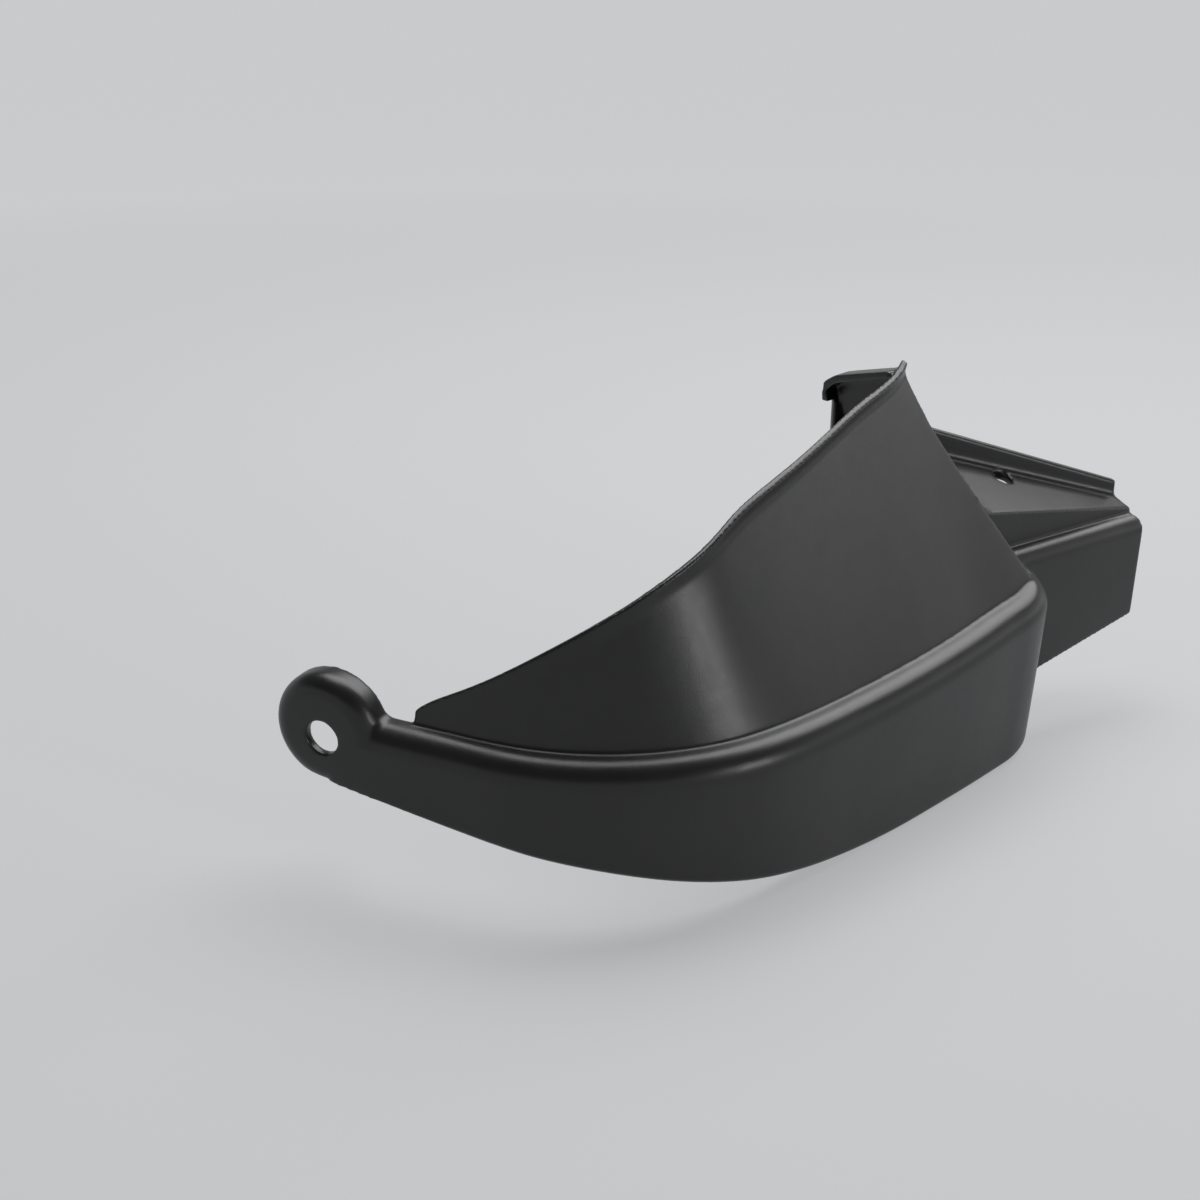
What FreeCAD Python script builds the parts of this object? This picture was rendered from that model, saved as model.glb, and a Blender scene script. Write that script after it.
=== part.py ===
import FreeCAD, Part
import math
import os

# Sizes in mm and degrees. The origin is the centre of the bar-end eye on the ear's outer face.
# X points outward along the bar, Y forward and Z up. The guard is the one for the right hand.

# Shell
WALL = 3.0

# Ear: a dished lobe around the bar-end eye
EYE_BORE_D = 9.5
EAR_R = 15.5
EAR_RISE = 1.2
EAR_DEPTH = 9.0
EAR_EDGE_R = 5.0
EAR_SEAM_R = 3.0

# Plan path of the band's outer face, from the eye to the nose at the inner end
END_LEN = 44.0
BEND_R = 80.0
BEND_TURN = 64.0
FRONT_LEN = 100.0
FRONT_TURN = 6.0
NOSE_R = 18.0
NOSE_TURN = 85.0

# Band: upright wall with a rounded shoulder and a shelf that carries the shield
RIDGE_Z = 5.6
RIDGE_RISE = 6.8
RIDGE_RISE_START = 140.0
RIDGE_R = 6.5
SHELF = 9.2
EAR_DROP = 12.5
EAR_DROP_SLOPE = 0.145
BAND_DROP = 40.2
DROP_END = 175.0
NOSE_DROP = 12.0
NOSE_CORNER = 12.0
DRAFT = 1.6
LIP_W = 7.0
LIP_T = 2.4
LOW_CHAMFER = 1.2

# Shield: a leaning wall that rises from the shelf to a horn at the inner end
SHIELD_IN = 7.6
SHIELD_START = 23.0
SHIELD_FOOT = 17.5
SHIELD_H = 74.0
SHIELD_EASE = 142.0
HORN_BACK = 8.0
LEAN_START = 15.0
LEAN_END = 32.0
SHIELD_SAG = 1.6
FLARE_SLOPE = 0.62
FLARE_LEN = 5.0
SHIELD_EDGE = 2.2
SHIELD_RAKE = 9.0

# Bracket at the inner end, in its own axes: f along it, w inward from its front face
BRACKET_TURN = 12.0
BRACKET_IN = 19.0
BRACKET_BACK = 15.0
BRACKET_LEN = 71.0
BRACKET_TOP = 18.0
BRACKET_EDGE_R = 5.0
BRACKET_LOW = 30.0
BRACKET_LOW_SLOPE = 0.21
BRACKET_CLOSE = 20.0
LEDGE = 6.0
ROOF_STEP = 14.0
ROOF_END_STEP = 1.6
ROOF_RISE = 0.33
ROOF_END_W = 15.0
RIM_H = 9.0
RIM_END_H = 4.5
RIM_FOOT_R = 2.5
RIM_TOP_R = 1.0
COVE_R = 8.0
SCREW_BORE_D = 6.5
SCREW_F = 30.0
SCREW_W = 23.8

# Hook: the return flange that runs from the horn toward the hand
HOOK_REACH = 25.0
HOOK_FALL = 9.0
HOOK_LIP = 5.0

UP = FreeCAD.Vector(0, 0, 1)


def arc_step(point, angle, radius, length):
    """Walk along an arc that turns left, from a point and heading."""
    after = angle + length / radius
    x = point[0] + radius * (math.cos(after) - math.cos(angle))
    y = point[1] + radius * (math.sin(after) - math.sin(angle))
    return (x, y), after


BEND_LEN = BEND_R * math.radians(BEND_TURN)
PATH_LEN = END_LEN + BEND_LEN + FRONT_LEN
FRONT_R = FRONT_LEN / math.radians(FRONT_TURN)
NOSE_LEN = NOSE_R * math.radians(NOSE_TURN)


def station(s, nose=False):
    """Plan point of the outer face at path length s, and the heading there from +Y."""
    if s <= END_LEN:
        return (0.0, s), 0.0
    point, angle = (0.0, END_LEN), 0.0
    if s <= END_LEN + BEND_LEN:
        return arc_step(point, angle, BEND_R, s - END_LEN)
    point, angle = arc_step(point, angle, BEND_R, BEND_LEN)
    rest = s - END_LEN - BEND_LEN
    if not nose or rest <= FRONT_LEN:
        return arc_step(point, angle, FRONT_R, rest)
    point, angle = arc_step(point, angle, FRONT_R, FRONT_LEN)
    return arc_step(point, angle, NOSE_R, rest - FRONT_LEN)


def place(s, w, z, nose=False):
    """Point at path length s, w inward from the outer face and at height z."""
    point, angle = station(s, nose)
    return FreeCAD.Vector(point[0] - w * math.cos(angle), point[1] - w * math.sin(angle), z)


def smooth(t):
    t = min(1.0, max(0.0, t))
    return t * t * (3.0 - 2.0 * t)


def drop(s):
    """Depth of the band's lower edge below the eye."""
    if s <= END_LEN:
        return EAR_DROP + EAR_DROP_SLOPE * s
    near = EAR_DROP + EAR_DROP_SLOPE * END_LEN
    run = DROP_END - END_LEN
    t = min(1.0, (s - END_LEN) / run)
    depth = near + (BAND_DROP - near) * smooth(t) + EAR_DROP_SLOPE * run * t * (1.0 - t) ** 2
    corner = PATH_LEN - NOSE_CORNER
    if s > corner:
        t = min(1.0, (s - corner) / (NOSE_LEN + NOSE_CORNER))
        depth = NOSE_DROP + (BAND_DROP - NOSE_DROP) * math.sqrt(max(0.0, 1.0 - t ** 2.4))
    return depth


def ridge_z(s):
    """Height of the shelf: level from the ear, then rising to the inner end."""
    t = max(0.0, (s - RIDGE_RISE_START) / (PATH_LEN - RIDGE_RISE_START))
    return RIDGE_Z + RIDGE_RISE * min(1.5, t * t)


def shield_height(s):
    """Slant height of the shield: steep at first, then easing toward the horn."""
    full = 1.0 - math.exp(-(PATH_LEN - HORN_BACK - SHIELD_FOOT) / SHIELD_EASE)
    return SHIELD_H * (1.0 - math.exp(-(s - SHIELD_FOOT) / SHIELD_EASE)) / full


def wire(points, arcs):
    """Closed wire through points; an entry of arcs marks a point as the middle of an arc."""
    edges = []
    i = 0
    n = len(points)
    while i < n:
        a, b = points[i], points[(i + 1) % n]
        if (i + 1) in arcs:
            c = points[(i + 2) % n]
            edges.append(Part.Arc(a, b, c).toShape())
            i += 2
        else:
            edges.append(Part.LineSegment(a, b).toShape())
            i += 1
    return Part.Wire(edges)


def bow(a, b, c):
    """Shallow curve from a to c that passes b midway."""
    curve = Part.BezierCurve()
    curve.setPoles([a, b * 2.0 - (a + c) * 0.5, c])
    return curve.toShape()


def polygon(points):
    return Part.Face(Part.makePolygon(points + points[:1]))


def round_near(shape, point, radius):
    """Round the edge of a solid whose middle is nearest to a point."""
    edge = min(shape.Edges, key=lambda e: (e.CenterOfMass - point).Length)
    return shape.makeFillet(radius, [edge])


def band_section(s):
    """Closed section of the wall, shoulder, shelf and lower lip."""
    low = -drop(s)
    top = ridge_z(s)
    bend = smooth((s - END_LEN) / (BEND_LEN * 0.5))
    draft = DRAFT * bend
    least = WALL * 1.2
    lip = least + (LIP_W - least) * smooth((s - END_LEN) / BEND_LEN)
    if s > PATH_LEN:
        lip = least + (LIP_W - least) * (1.0 - smooth((s - PATH_LEN) / (NOSE_LEN * 0.6)))
    inner_r = RIDGE_R - WALL
    k = math.sqrt(0.5)
    edge = LOW_CHAMFER * max(0.15, smooth(s / END_LEN))
    profile = [
        (draft + edge, low),
        (draft, low + edge),
        (0.0, top - RIDGE_R),
        (RIDGE_R * (1.0 - k), top - RIDGE_R * (1.0 - k)),
        (RIDGE_R, top),
        (SHELF, top),
        (SHELF, top - WALL),
        (RIDGE_R, top - WALL),
        (RIDGE_R - inner_r * k, top - RIDGE_R + inner_r * k),
        (WALL, top - RIDGE_R),
        (draft + WALL, low + LIP_T * 1.5),
        (draft + lip, low + LIP_T),
        (draft + lip, low),
    ]
    return wire([place(s, w, z, True) for w, z in profile], (3,))


def shield_lean(s):
    t = (s - END_LEN) / (PATH_LEN - END_LEN)
    return math.radians(LEAN_START + (LEAN_END - LEAN_START) * min(1.05, max(0.0, t)))


def shield_point(s, d, h):
    """Outer face of the shield: inward distance and height at slant distance d of h."""
    lean = shield_lean(s)
    u = max(0.0, d / h)
    fade = smooth((s - END_LEN) / (PATH_LEN - END_LEN) * 1.4)
    sag = SHIELD_SAG * fade * 4.0 * u * (1.0 - u)
    past = max(0.0, d - h + FLARE_LEN)
    curl = past * (0.6 + 0.4 * past / FLARE_LEN)
    flare = FLARE_SLOPE * fade * (curl - FLARE_LEN * u)
    return SHIELD_IN + d * math.sin(lean) + sag - flare, ridge_z(s) + d * math.cos(lean)


def shield_skin(s, d, h):
    """Points of the shield's outer and inner faces at slant distance d."""
    w, z = shield_point(s, d, h)
    w0, z0 = shield_point(s, d - 0.5, h)
    run = math.hypot(w - w0, z - z0)
    thick = WALL - (WALL - SHIELD_EDGE) * max(0.0, d / h) ** 2
    return place(s, w, z), place(s, w + thick * (z - z0) / run, z - thick * (w - w0) / run)


def shield_section(s):
    """Closed section of the shield, from below the shelf to the flared top edge."""
    h = shield_height(s)
    low = -(WALL + 1.0)
    knee = h - min(FLARE_LEN, 0.5 * (h - low))
    stops = [low, (low + knee) * 0.5, knee, (knee + h) * 0.5, h]
    outer, inner = zip(*[shield_skin(s, d, h) for d in stops])
    edges = [
        bow(*outer[0:3]),
        bow(*outer[2:5]),
        Part.LineSegment(outer[4], inner[4]).toShape(),
        bow(inner[4], inner[3], inner[2]),
        bow(inner[2], inner[1], inner[0]),
        Part.LineSegment(inner[0], outer[0]).toShape(),
    ]
    return Part.Wire(edges)


def make_ear():
    """Dished lobe with a rolled rim, open below and toward the band."""
    axis = FreeCAD.Vector(-1, 0, 0)
    centre = FreeCAD.Vector(0, 0, EAR_RISE)
    lobe = Part.makeCylinder(EAR_R, EAR_DEPTH, centre, axis)
    rim = [e for e in lobe.Edges if e.Closed and abs(e.CenterOfMass.x) < 0.01]
    lobe = lobe.makeFillet(EAR_EDGE_R, rim)
    dish = Part.makeCylinder(EAR_R - WALL, EAR_DEPTH, FreeCAD.Vector(-WALL, 0, EAR_RISE), axis)
    corner = FreeCAD.Vector(-WALL - EAR_DEPTH, 0, RIDGE_Z - WALL - EAR_DROP * 3)
    way = Part.makeBox(EAR_DEPTH, EAR_R + 5, EAR_DROP * 3, corner)
    lobe = lobe.cut(way)
    run = EAR_R * 3
    web = polygon([
        FreeCAD.Vector(0, 0, 0),
        FreeCAD.Vector(0, 0, -run),
        FreeCAD.Vector(0, EAR_R, -run),
        FreeCAD.Vector(0, EAR_R, 0),
    ]).extrude(FreeCAD.Vector(-WALL, 0, 0))
    lobe = lobe.fuse(round_near(web, FreeCAD.Vector(0, 0, -run * 0.5), WALL * 0.9))
    below = Part.makePolygon([
        FreeCAD.Vector(1, -run, -EAR_DROP + EAR_DROP_SLOPE * run),
        FreeCAD.Vector(1, run, -EAR_DROP - EAR_DROP_SLOPE * run),
        FreeCAD.Vector(1, run, -run * 2),
        FreeCAD.Vector(1, -run, -run * 2),
        FreeCAD.Vector(1, -run, -EAR_DROP + EAR_DROP_SLOPE * run),
    ])
    below = Part.Face(below).extrude(FreeCAD.Vector(-EAR_DEPTH - 2, 0, 0))
    lobe = lobe.cut(below).fuse(make_end()).cut(dish).removeSplitter()
    seam = FreeCAD.Vector(-RIDGE_R * 0.4, EAR_R - 1.2, RIDGE_Z - RIDGE_R * 0.25)
    return round_near(lobe, seam, EAR_SEAM_R)


def make_end():
    """Straight stretch of the band, beside the ear."""
    start = EAR_R - EAR_EDGE_R
    return Part.makeLoft([band_section(start), band_section(END_LEN)], True, True)


def make_band():
    """Band around the bend and along the front to the rounded nose."""
    stops = [END_LEN + BEND_LEN * k / 7 for k in range(8)]
    stops += [END_LEN + BEND_LEN + FRONT_LEN * k for k in (0.2, 0.4, 0.6, 0.8, 0.92, 1.0)]
    stops += [PATH_LEN + NOSE_LEN * k for k in (0.2, 0.4, 0.6, 0.8, 0.94)]
    return Part.makeLoft([band_section(s) for s in stops], True, False)


def make_shield():
    stops = [SHIELD_START, (SHIELD_START + END_LEN) * 0.5, END_LEN]
    stops += [END_LEN + BEND_LEN * k / 6 for k in range(1, 7)]
    stops += [END_LEN + BEND_LEN + (FRONT_LEN + SHIELD_RAKE + WALL) * k / 5 for k in range(1, 6)]
    return Part.makeLoft([shield_section(s) for s in stops], True, False)


def end_axes():
    """Plan point, forward direction and outward direction at the end of the path."""
    point, angle = station(PATH_LEN)
    along = FreeCAD.Vector(-math.sin(angle), math.cos(angle), 0)
    out = FreeCAD.Vector(math.cos(angle), math.sin(angle), 0)
    return FreeCAD.Vector(point[0], point[1], 0), along, out


def bracket_point(f, w, z):
    point, along, out = end_axes()
    angle = station(PATH_LEN)[1] - math.radians(BRACKET_TURN)
    forward = FreeCAD.Vector(-math.sin(angle), math.cos(angle), 0)
    outward = FreeCAD.Vector(math.cos(angle), math.sin(angle), 0)
    return point - out * BRACKET_IN + forward * f - outward * w + UP * z


def bracket_prism(profile, arcs, f0, f1):
    """Solid with a (w, z) profile, running from f0 to f1."""
    section = wire([bracket_point(f0, w, z) for w, z in profile], arcs)
    return Part.Face(section).extrude(bracket_point(f1, 0, 0) - bracket_point(f0, 0, 0))


def roof_z(f, w):
    step = ROOF_STEP + (ROOF_END_STEP - ROOF_STEP) * f / BRACKET_LEN
    return BRACKET_TOP + step + ROOF_RISE * (w - LEDGE)


def roof_point(f, w, lift=0.0):
    return bracket_point(f, w, roof_z(f, w) + lift)


def roof_normal():
    """Upward normal of the tray."""
    a = roof_point(1.0, 0.0) - roof_point(0.0, 0.0)
    b = roof_point(0.0, 1.0) - roof_point(0.0, 0.0)
    return a.cross(b).normalize()


def make_bracket():
    r, k = BRACKET_EDGE_R, math.sqrt(0.5)
    q = r - WALL
    low = -BRACKET_LOW - 10.0
    front = bracket_prism([
        (0.0, low),
        (0.0, BRACKET_TOP - r),
        (r * (1.0 - k), BRACKET_TOP - r * (1.0 - k)),
        (r, BRACKET_TOP),
        (LEDGE + WALL, BRACKET_TOP),
        (LEDGE + WALL, BRACKET_TOP - WALL),
        (r, BRACKET_TOP - WALL),
        (r - q * k, BRACKET_TOP - r + q * k),
        (WALL, BRACKET_TOP - r),
        (WALL, low),
    ], (2, 7), -BRACKET_BACK, BRACKET_LEN)
    f0, f1 = -BRACKET_BACK - 5.0, BRACKET_LEN + 5.0
    under = polygon([
        bracket_point(f0, -5.0, -BRACKET_LOW + BRACKET_LOW_SLOPE * f0),
        bracket_point(f1, -5.0, -BRACKET_LOW + BRACKET_LOW_SLOPE * f1),
        bracket_point(f1, -5.0, low - 5.0),
        bracket_point(f0, -5.0, low - 5.0),
    ]).extrude(bracket_point(0, 20.0, 0) - bracket_point(0, 0, 0))
    front = front.cut(under)
    riser = polygon([
        bracket_point(-BRACKET_BACK, LEDGE, BRACKET_TOP - WALL * 0.8),
        bracket_point(BRACKET_LEN, LEDGE, BRACKET_TOP - WALL * 0.8),
        roof_point(BRACKET_LEN, LEDGE, -WALL * 0.3),
        roof_point(-BRACKET_BACK, LEDGE, -WALL * 0.3),
    ]).extrude(bracket_point(0, WALL, 0) - bracket_point(0, 0, 0))
    corner = hook_corner()
    roof = polygon([
        roof_point(-BRACKET_BACK, LEDGE),
        roof_point(BRACKET_LEN, LEDGE),
        roof_point(BRACKET_LEN, ROOF_END_W),
        roof_point(*corner),
    ]).extrude(UP * -WALL)
    back = bracket_point(BRACKET_LEN, ROOF_END_W, 0) - bracket_point(corner[0], corner[1], 0)
    toward = back.cross(UP).normalize()
    rim = polygon([
        roof_point(corner[0], corner[1], -WALL - 1.0),
        roof_point(BRACKET_LEN, ROOF_END_W, -WALL - 1.0),
        roof_point(BRACKET_LEN, ROOF_END_W, RIM_END_H),
        roof_point(corner[0], corner[1], RIM_H),
    ]).extrude(toward * WALL)
    middle = (bracket_point(BRACKET_LEN, ROOF_END_W, 0) + bracket_point(corner[0], corner[1], 0)) * 0.5
    high = (roof_point(BRACKET_LEN, ROOF_END_W, RIM_END_H) + roof_point(corner[0], corner[1], RIM_H)).z * 0.5
    foot = (roof_z(BRACKET_LEN, ROOF_END_W) + roof_z(*corner)) * 0.5 - ROOF_RISE * WALL
    rim = round_near(rim, middle + UP * high, RIM_TOP_R)
    rim = round_near(rim, middle + toward * WALL + UP * high, RIM_TOP_R)
    roof = round_near(roof.fuse(rim).removeSplitter(), middle + toward * WALL + UP * foot, RIM_FOOT_R)
    f = -BRACKET_BACK
    shelf = ridge_z(PATH_LEN - BRACKET_BACK)
    high = roof_z(f, LEDGE) - 0.5
    close = polygon([
        bracket_point(f, -BRACKET_CLOSE, -BRACKET_LOW),
        bracket_point(f, -BRACKET_CLOSE, shelf - WALL - 1.0),
        bracket_point(f, -BRACKET_CLOSE + 6.0, shelf - WALL * 0.5),
        bracket_point(f, -BRACKET_CLOSE + 6.0, high),
        bracket_point(f, LEDGE + WALL * 0.5, high),
        bracket_point(f, LEDGE + WALL * 0.5, BRACKET_TOP - WALL * 0.5),
        bracket_point(f, WALL * 0.5, BRACKET_TOP - WALL * 0.5),
        bracket_point(f, WALL * 0.5, -BRACKET_LOW),
    ]).extrude(bracket_point(WALL, 0, 0) - bracket_point(0, 0, 0))
    return front, riser, roof, close


def in_bracket(point):
    """A point's place along and inward in the bracket's axes."""
    start = bracket_point(0, 0, 0)
    along = bracket_point(1, 0, 0) - start
    inward = bracket_point(0, 1, 0) - start
    return (point - start).dot(along), (point - start).dot(inward)


def horn():
    """Path length and slant height at the horn, and its inward distance and height."""
    s = PATH_LEN - HORN_BACK
    h = shield_height(s)
    w, z = shield_point(s, h - 1.0, h)
    return s, h, w + WALL * 0.5, z


def hook_corner():
    """The hook's end in the bracket's axes."""
    s, h, w, z = horn()
    return in_bracket(place(s, w + HOOK_REACH, 0))


def end_slab(points, depth):
    """Slab of a (w, z) outline, flush with the shield's raked end."""
    along = end_axes()[1]
    face = polygon([place(PATH_LEN - HORN_BACK, w, z) for w, z in points])
    face.translate(along * (-HORN_BACK - WALL - depth))
    block = trim_shield(face.extrude(along * (HORN_BACK * 4.0 + depth)))
    behind = block.copy()
    behind.translate(along * -depth)
    return block.cut(behind)


def make_hook():
    """End wall from the bracket's ledge to the horn, and the lip along its hooked top."""
    s, h, w_top, z_top = horn()
    w_end = w_top + HOOK_REACH
    back = BRACKET_IN + LEDGE + WALL * 0.8
    foot = BRACKET_TOP - WALL * 0.5
    hook = [
        (w_top, z_top),
        (w_top + HOOK_REACH * 0.8, z_top - HOOK_FALL * 0.6),
        (w_top + HOOK_REACH * 0.96, z_top - HOOK_FALL * 0.9),
        (w_end, z_top - HOOK_FALL - WALL),
    ]
    low = roof_z(*hook_corner()) - WALL * 0.6
    low_back = roof_z(*in_bracket(place(s, back, 0))) - WALL * 0.6
    side = []
    for share in (0.1, 0.25, 0.4, 0.55, 0.7, 0.85):
        w, z = shield_point(s, h * share, h)
        if z > foot:
            side.append((w + WALL * 0.5, z))
    wall = end_slab([(side[0][0], foot)] + side + hook + [(w_end, low), (back, low_back), (back, foot)], WALL)
    inner = [
        (w_top + HOOK_REACH - LIP_T, z_top - HOOK_FALL - WALL - LIP_T),
        (w_top + HOOK_REACH * 0.92, z_top - HOOK_FALL * 0.9 - LIP_T),
        (w_top + HOOK_REACH * 0.78, z_top - HOOK_FALL * 0.6 - LIP_T),
        (w_top, z_top - LIP_T),
    ]
    tip = [(w_end, z_top - HOOK_FALL - WALL - LIP_T)]
    lip = end_slab(hook + tip + inner, WALL + HOOK_LIP)
    return wall, lip


def rake_points():
    """Points down the shield's raked end: how far past the path's end, and how high."""
    return [
        (-HORN_BACK * 1.5, RIDGE_Z + SHIELD_H * 1.2),
        (-HORN_BACK, RIDGE_Z + SHIELD_H),
        (-HORN_BACK * 0.5, RIDGE_Z + SHIELD_H * 0.7),
        (SHIELD_RAKE, RIDGE_Z + RIDGE_R * 1.5),
        (SHIELD_RAKE * 1.33, RIDGE_Z - RIDGE_R * 3.0),
    ]


def cove(line, first, second, start, end):
    """Hollow fillet along a line, in the corner of two faces with these outward normals."""
    centre = start + (first + second) * (COVE_R / (1.0 + first.dot(second)))
    bisector = (first + second).normalize()
    corner = start - bisector
    a, b = centre - first * COVE_R, centre - second * COVE_R
    arc = Part.Arc(a, centre - bisector * COVE_R, b)
    lines = [Part.LineSegment(b, corner), Part.LineSegment(corner, a)]
    face = Part.Face(Part.Wire([arc.toShape()] + [line.toShape() for line in lines]))
    return face.extrude(line * (end - start).dot(line))


def make_cove():
    """Fillet of the end wall with the tray, between the tray's front and its rim."""
    point, along, out = end_axes()
    (s_high, z_high), (s_low, z_low) = rake_points()[2:4]
    slope = along * (s_high - s_low) + UP * (z_high - z_low)
    end_normal = out.cross(slope).normalize()
    if end_normal.dot(along) < 0:
        end_normal = end_normal * -1.0

    def meet(w):
        """Point of the tray's top on the end wall's face, w inward."""
        low = point + along * s_low - out * w + UP * z_low
        gaps = [q.z - roof_z(*in_bracket(q)) for q in (low, low + slope)]
        return low + slope * (gaps[0] / (gaps[0] - gaps[1]))

    start, end = meet(0.0), meet(horn()[2] + HOOK_REACH * 2.0)
    fillet = cove((end - start).normalize(), roof_normal(), end_normal, start, end)
    corner = hook_corner()
    keep = polygon([
        bracket_point(-BRACKET_BACK, LEDGE, 0.0),
        bracket_point(BRACKET_LEN, LEDGE, 0.0),
        bracket_point(BRACKET_LEN, ROOF_END_W, 0.0),
        bracket_point(corner[0], corner[1], 0.0),
    ]).extrude(UP * SHIELD_H)
    return fillet.common(keep)


def make_outside():
    """Room in front of the shield's inner end, where the bracket must not stand."""
    sections = []
    for k in (-30.0, -15.0, 0.0, SHIELD_RAKE + WALL):
        s = PATH_LEN + k
        h = shield_height(s)
        points = []
        for d in (0.0, h * 0.5, h):
            w, z = shield_point(s, d, h)
            points.append(place(s, w + WALL * 0.4, z))
        high = place(s, -30.0, points[-1].z)
        low = place(s, -30.0, points[0].z)
        lines = [(points[-1], high), (high, low), (low, points[0])]
        edges = [bow(*points)] + [Part.LineSegment(a, b).toShape() for a, b in lines]
        sections.append(Part.Wire(edges))
    return trim_shield(Part.makeLoft(sections, True, False))


def trim_shield(shield):
    """Rake the shield's inner end: the foot runs on past the horn."""
    point, along, out = end_axes()
    rake = rake_points()
    far = PATH_LEN * 0.5
    outline = [point + along * s + UP * z for s, z in rake]
    outline += [point + along * far + UP * rake[-1][1], point + along * far + UP * rake[0][1]]
    cutter = polygon([p + out * far for p in outline]).extrude(out * (-2.0 * far))
    return shield.cut(cutter)


def bore(diameter, centre, axis, length):
    return Part.makeCylinder(diameter / 2.0, length, centre - axis * (length / 2.0), axis)


def build():
    outside = make_outside()
    pieces = [make_band(), trim_shield(make_shield())]
    pieces += [piece.cut(outside) for piece in make_bracket() + make_hook() + (make_cove(),)]
    guard = make_ear().fuse(pieces)
    eye = bore(EYE_BORE_D, FreeCAD.Vector(0, 0, 0), FreeCAD.Vector(1, 0, 0), EAR_DEPTH * 3.0)
    screw = bore(SCREW_BORE_D, roof_point(SCREW_F, SCREW_W), roof_normal(), WALL * 5.0)
    guard = guard.cut([eye, screw]).removeSplitter()
    return guard.Solids[0] if len(guard.Solids) == 1 else guard


if __name__ == "__main__":
    os.makedirs("parts", exist_ok=True)
    guard = build()
    guard.exportStep("parts/hand_guard.step")
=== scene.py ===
import math

import bpy
import numpy as np
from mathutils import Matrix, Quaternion, Vector


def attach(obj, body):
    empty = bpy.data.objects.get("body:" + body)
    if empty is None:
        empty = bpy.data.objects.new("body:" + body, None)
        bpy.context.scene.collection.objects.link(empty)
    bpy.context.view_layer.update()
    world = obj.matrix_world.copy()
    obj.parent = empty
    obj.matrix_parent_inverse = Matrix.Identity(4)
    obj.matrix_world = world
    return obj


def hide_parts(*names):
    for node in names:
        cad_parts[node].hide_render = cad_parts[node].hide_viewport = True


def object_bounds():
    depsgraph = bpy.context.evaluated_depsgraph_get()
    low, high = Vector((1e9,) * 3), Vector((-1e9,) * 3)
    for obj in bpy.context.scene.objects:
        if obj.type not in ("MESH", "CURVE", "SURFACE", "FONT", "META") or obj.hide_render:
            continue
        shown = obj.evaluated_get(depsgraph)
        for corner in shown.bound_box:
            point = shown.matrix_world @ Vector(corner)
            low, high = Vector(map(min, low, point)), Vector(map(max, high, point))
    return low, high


# Sizes in metres and angles in degrees, in the part's own frame.

# Shell: fold that counts as an edge, splits across a facet, and how far a facet is bent to its corners'
# tangent planes and at the most
EDGE_FOLD = 28.0
FACET_SPLITS = 5
FACET_BEND = 0.5
FACET_SAG = 0.00007
WELD = 0.000001
TINY = 1e-15

# Voxel size and smoothing that round the shell's edges, and the share of faces kept and then evened
VOXEL = 0.00045
SMOOTH_PASSES = 10
EVEN_PASSES = 4
SMOOTH_SHARE = 0.5
FACE_SHARE = 0.21

# Camera, at the photograph's viewing angle
CAMERA_PLACE = (0.2856, 0.2121, 0.1940)
CAMERA_AZIMUTH = 115.0
CAMERA_DROP = 24.0
CAMERA_LENS = 46.5
CAMERA_SENSOR = 36.0

# Floor, with its glow's share near the guard and far away, and the low backdrop round it
FLOOR_SIZE = 24.0
FLOOR_COLOUR = (0.56, 0.57, 0.58)
FLOOR_ROUGH = 0.9
FLOOR_SHINE = 0.1
FLOOR_GLOW = (0.60, 0.61, 0.62)
FLOOR_GLOW_SHARE = (0.62, 0.97)
FLOOR_GLOW_REACH = (0.25, 1.1)
BACKDROP_HEIGHT = 4.2
BACKDROP_SIDES = 96

# Surroundings, and the point that the lamps face
SKY_COLOUR = (0.86, 0.87, 0.88)
SKY_STRENGTH = 0.13
LIGHT_TARGET = (-0.08, 0.11, 0.02)

# Lamps: name, place, roll, width and height, watts
LIGHTS = [
    ("overhead", (-0.56, 0.05, 0.86), 30.0, (1.3, 0.70), 13.5),
    ("side", (0.13, 1.21, 0.32), 0.0, (0.22, 0.34), 2.2),
    ("far_side", (-0.80, 1.02, 0.42), 0.0, (0.8, 0.6), 1.3),
]

# Satin black moulded plastic
PLASTIC_DARK = (0.0080, 0.0080, 0.0088)
PLASTIC_LIGHT = (0.0135, 0.0135, 0.0145)
PLASTIC_ROUGH = (0.31, 0.36)
GRAIN_SCALE = 2600.0
GRAIN_DEPTH = 0.00002
GRAIN_DETAIL = 2.0
FLOW_SCALE = 38.0
FLOW_DEPTH = 0.00018
FLOW_DETAIL = 4.0
FLECK_SCALE = 342.0
FLECK_DETAIL = 6.0
FLECK_ROUGH = 0.6

# Stretch of a noise's values that is spread out
NOISE_SPAN = (0.3, 0.7)


def new_material(name):
    """Empty node material, with its node tree, shader and output."""
    material = bpy.data.materials.new(name)
    material.use_nodes = True
    tree = material.node_tree
    shader = tree.nodes["Principled BSDF"]
    return material, tree, shader


def noise(tree, coords, scale, detail, roughness=0.5):
    """Noise texture in the part's own coordinates."""
    node = tree.nodes.new("ShaderNodeTexNoise")
    node.inputs["Scale"].default_value = scale
    node.inputs["Detail"].default_value = detail
    node.inputs["Roughness"].default_value = roughness
    tree.links.new(coords, node.inputs["Vector"])
    return node.outputs["Fac"]


def colour_ramp(tree, value, low, high):
    """Colour that runs from low to high over a noise's span."""
    ramp = tree.nodes.new("ShaderNodeValToRGB")
    for stop, place, colour in zip(ramp.color_ramp.elements, NOISE_SPAN, (low, high)):
        stop.position = place
        stop.color = (*colour, 1.0)
    tree.links.new(value, ramp.inputs["Fac"])
    return ramp.outputs["Color"]


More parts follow.
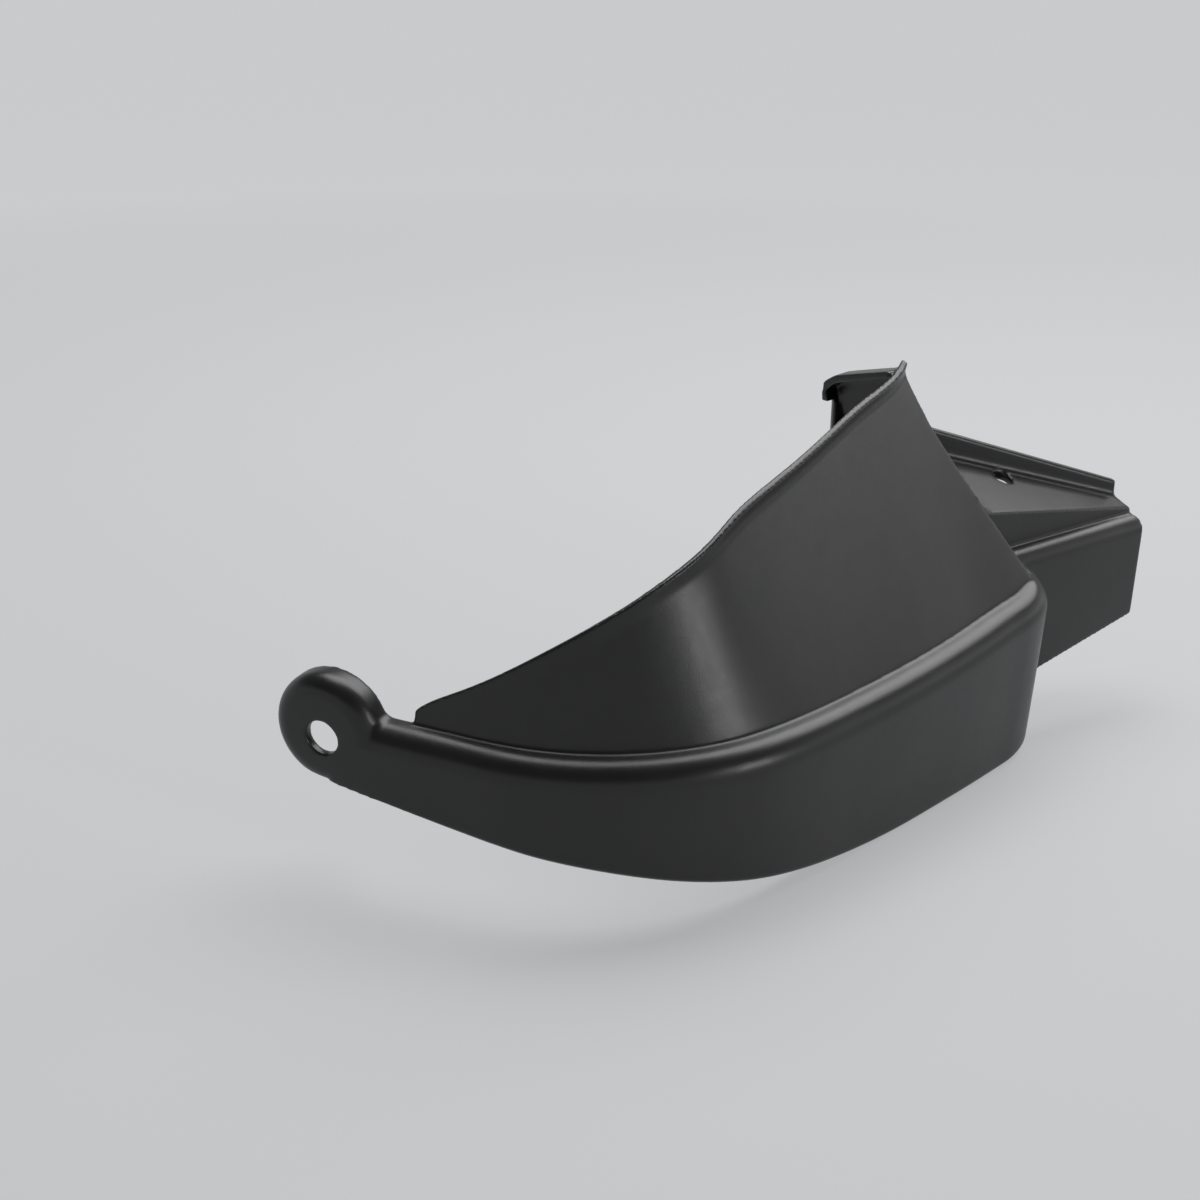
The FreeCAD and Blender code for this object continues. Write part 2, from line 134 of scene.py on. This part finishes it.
def value_range(tree, value, source, target):
    """Value moved from one range to another."""
    node = tree.nodes.new("ShaderNodeMapRange")
    for name, limit in zip(("From Min", "From Max", "To Min", "To Max"), source + target):
        node.inputs[name].default_value = limit
    tree.links.new(value, node.inputs["Value"])
    return node.outputs["Result"]


def bump(tree, height, depth, under=None):
    """Bump of a real depth, on top of another one."""
    node = tree.nodes.new("ShaderNodeBump")
    node.inputs["Strength"].default_value = 1.0
    node.inputs["Distance"].default_value = depth
    tree.links.new(height, node.inputs["Height"])
    if under is not None:
        tree.links.new(under, node.inputs["Normal"])
    return node.outputs["Normal"]


def plastic_material():
    """Satin black plastic with faint flow clouding and a fine moulded grain."""
    material, tree, shader = new_material("moulded_plastic")
    coords = tree.nodes.new("ShaderNodeTexCoord").outputs["Object"]
    cloud = noise(tree, coords, FLOW_SCALE, FLOW_DETAIL)
    fleck = noise(tree, coords, FLECK_SCALE, FLECK_DETAIL, FLECK_ROUGH)
    grain = noise(tree, coords, GRAIN_SCALE, GRAIN_DETAIL)
    tree.links.new(colour_ramp(tree, cloud, PLASTIC_DARK, PLASTIC_LIGHT), shader.inputs["Base Color"])
    tree.links.new(value_range(tree, fleck, NOISE_SPAN, PLASTIC_ROUGH), shader.inputs["Roughness"])
    waves = bump(tree, cloud, FLOW_DEPTH)
    tree.links.new(bump(tree, grain, GRAIN_DEPTH, waves), shader.inputs["Normal"])
    return material


def floor_material():
    """Plain pale floor, evenly pale to the eye where the lamps fall off."""
    material, tree, shader = new_material("floor")
    shader.inputs["Base Color"].default_value = (*FLOOR_COLOUR, 1.0)
    shader.inputs["Roughness"].default_value = FLOOR_ROUGH
    shader.inputs["Specular IOR Level"].default_value = FLOOR_SHINE
    glow = tree.nodes.new("ShaderNodeEmission")
    glow.inputs["Color"].default_value = (*FLOOR_GLOW, 1.0)
    rays = tree.nodes.new("ShaderNodeLightPath")
    seen = rays.outputs["Is Camera Ray"]
    for kind in ("Is Glossy Ray", "Is Transmission Ray"):
        either = tree.nodes.new("ShaderNodeMath")
        either.operation = "MAXIMUM"
        tree.links.new(seen, either.inputs[0])
        tree.links.new(rays.outputs[kind], either.inputs[1])
        seen = either.outputs["Value"]
    distance = tree.nodes.new("ShaderNodeVectorMath")
    distance.operation = "LENGTH"
    tree.links.new(tree.nodes.new("ShaderNodeTexCoord").outputs["Object"], distance.inputs[0])
    spread = value_range(tree, distance.outputs["Value"], FLOOR_GLOW_REACH, FLOOR_GLOW_SHARE)
    share = tree.nodes.new("ShaderNodeMath")
    share.operation = "MULTIPLY"
    tree.links.new(seen, share.inputs[0])
    tree.links.new(spread, share.inputs[1])
    mix = tree.nodes.new("ShaderNodeMixShader")
    tree.links.new(share.outputs["Value"], mix.inputs["Fac"])
    tree.links.new(shader.outputs["BSDF"], mix.inputs[1])
    tree.links.new(glow.outputs["Emission"], mix.inputs[2])
    tree.links.new(mix.outputs["Shader"], tree.nodes["Material Output"].inputs["Surface"])
    return material


def facet_corners(mesh):
    """Corner points of a mesh's triangles."""
    mesh.calc_loop_triangles()
    points = np.zeros(len(mesh.vertices) * 3, np.float32)
    mesh.vertices.foreach_get("co", points)
    ids = np.zeros(len(mesh.loop_triangles) * 3, np.int32)
    mesh.loop_triangles.foreach_get("vertices", ids)
    return points.reshape(-1, 3)[ids].reshape(-1, 3, 3).astype(float)


def corner_normals(corners):
    """Normal of the smooth face at each corner, from the facets that meet there without a fold."""
    areas = np.cross(corners[:, 1] - corners[:, 0], corners[:, 2] - corners[:, 0])
    sizes = np.maximum(np.linalg.norm(areas, axis=1, keepdims=True), TINY)
    normals = areas / sizes
    keys = np.round(corners.reshape(-1, 3) / WELD).astype(np.int64)
    vertex = np.unique(keys, axis=0, return_inverse=True)[1].ravel()
    order = np.argsort(vertex, kind="stable")
    starts = np.flatnonzero(np.diff(vertex[order])) + 1
    smooth = np.zeros((len(vertex), 3))
    for group in np.split(order, starts):
        own = normals[group // 3]
        alike = own @ own.T > math.cos(math.radians(EDGE_FOLD))
        total = alike @ areas[group // 3]
        smooth[group] = total / np.maximum(np.linalg.norm(total, axis=1, keepdims=True), TINY)
    return smooth.reshape(-1, 3, 3)


def bent_facets(corners, normals):
    """Points of each facet's grid, bent to the smooth face that it stands for, and the grid's triangles."""
    n = FACET_SPLITS
    grid = [(i, j) for i in range(n + 1) for j in range(n + 1 - i)]
    place = {key: k for k, key in enumerate(grid)}
    share = np.array([(n - i - j, i, j) for i, j in grid]) / n
    cells = [(place[i, j], place[i + 1, j], place[i, j + 1]) for i, j in grid if i + j < n]
    cells += [(place[i + 1, j], place[i + 1, j + 1], place[i, j + 1]) for i, j in grid if i + j < n - 1]
    flat = np.einsum("pb,tbc->tpc", share, corners)
    away = np.einsum("tpbc,tbc->tpb", flat[:, :, None] - corners[:, None], normals)
    bend = -FACET_BEND * np.einsum("pb,tpb,tbc->tpc", share, away, normals)
    size = np.maximum(np.linalg.norm(bend, axis=2, keepdims=True), TINY)
    points = flat + bend * np.minimum(1.0, FACET_SAG / size)
    first = np.arange(len(corners))[:, None, None] * len(grid)
    return points.reshape(-1, 3), (first + np.array(cells)).reshape(-1, 3)


def make_mesh(name, points, triangles):
    """Mesh of these points and triangles."""
    mesh = bpy.data.meshes.new(name)
    mesh.vertices.add(len(points))
    mesh.vertices.foreach_set("co", points.ravel())
    mesh.loops.add(len(triangles) * 3)
    mesh.loops.foreach_set("vertex_index", triangles.ravel())
    mesh.polygons.add(len(triangles))
    mesh.polygons.foreach_set("loop_start", np.arange(len(triangles)) * 3)
    mesh.update()
    return mesh


def make_shell(node):
    """The moulding with smooth faces and softly rounded edges, in place of its plain solid."""
    corners = facet_corners(node.data)
    points, triangles = bent_facets(corners, corner_normals(corners))
    shell = bpy.data.objects.new("guard_shell", make_mesh("bent", points, triangles))
    bpy.context.scene.collection.objects.link(shell)
    remesh = shell.modifiers.new("even_skin", "REMESH")
    remesh.mode = "VOXEL"
    remesh.voxel_size = VOXEL
    remesh.use_smooth_shade = True
    soften = shell.modifiers.new("soft_edges", "SMOOTH")
    soften.factor = SMOOTH_SHARE
    soften.iterations = SMOOTH_PASSES
    thin = shell.modifiers.new("fewer_faces", "DECIMATE")
    thin.ratio = FACE_SHARE
    even = shell.modifiers.new("even_faces", "SMOOTH")
    even.factor = SMOOTH_SHARE
    even.iterations = EVEN_PASSES
    done = shell.evaluated_get(bpy.context.evaluated_depsgraph_get())
    mesh = bpy.data.meshes.new_from_object(done)
    shell.modifiers.clear()
    shell.data = mesh
    shell.data.materials.append(plastic_material())
    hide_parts("hand_guard")
    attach(shell, "root")


def make_floor(height):
    """Wide floor that carries the guard, with a low backdrop round it."""
    bpy.ops.mesh.primitive_plane_add(size=FLOOR_SIZE, location=(0, 0, height))
    floor = bpy.context.object
    floor.name = "floor"
    middle = (0, 0, height + BACKDROP_HEIGHT / 2)
    bpy.ops.mesh.primitive_cylinder_add(
        vertices=BACKDROP_SIDES,
        radius=FLOOR_SIZE / 2,
        depth=BACKDROP_HEIGHT,
        end_fill_type="NOTHING",
        location=middle,
    )
    backdrop = bpy.context.object
    backdrop.name = "backdrop"
    material = floor_material()
    for stage in (floor, backdrop):
        stage.data.materials.append(material)


def make_light(name, place, roll, size, watts):
    """Soft rectangular lamp that faces the guard."""
    data = bpy.data.lights.new(name, "AREA")
    data.shape = "RECTANGLE"
    data.size, data.size_y = size
    data.energy = watts
    lamp = bpy.data.objects.new(name, data)
    lamp.location = place
    aim = (Vector(LIGHT_TARGET) - lamp.location).to_track_quat("-Z", "Y")
    lamp.rotation_euler = (aim @ Quaternion((0.0, 0.0, 1.0), math.radians(roll))).to_euler()
    bpy.context.scene.collection.objects.link(lamp)


def make_sky():
    """Even pale surroundings."""
    world = bpy.data.worlds.new("surroundings")
    bpy.context.scene.world = world
    world.use_nodes = True
    back = world.node_tree.nodes["Background"]
    back.inputs["Color"].default_value = (*SKY_COLOUR, 1.0)
    back.inputs["Strength"].default_value = SKY_STRENGTH


def make_camera():
    """Camera at the photograph's place and angle."""
    data = bpy.data.cameras.new("camera")
    data.lens = CAMERA_LENS
    data.sensor_width = CAMERA_SENSOR
    camera = bpy.data.objects.new("camera", data)
    turn, drop = math.radians(CAMERA_AZIMUTH), math.radians(CAMERA_DROP)
    ahead = Vector((-math.sin(turn) * math.cos(drop), math.cos(turn) * math.cos(drop), -math.sin(drop)))
    camera.location = CAMERA_PLACE
    camera.rotation_euler = ahead.to_track_quat("-Z", "Y").to_euler()
    bpy.context.scene.collection.objects.link(camera)
    bpy.context.scene.camera = camera


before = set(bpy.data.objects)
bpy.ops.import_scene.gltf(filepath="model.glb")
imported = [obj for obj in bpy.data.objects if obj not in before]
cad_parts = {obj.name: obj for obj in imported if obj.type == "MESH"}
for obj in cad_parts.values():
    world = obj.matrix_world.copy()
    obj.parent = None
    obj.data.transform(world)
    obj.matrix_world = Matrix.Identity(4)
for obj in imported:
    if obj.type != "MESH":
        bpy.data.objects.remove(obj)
cad_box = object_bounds()
make_shell(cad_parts["hand_guard"])
make_floor(cad_box[0].z)
for light in LIGHTS:
    make_light(*light)
make_sky()
make_camera()
bpy.context.scene.view_settings.view_transform = "Standard"
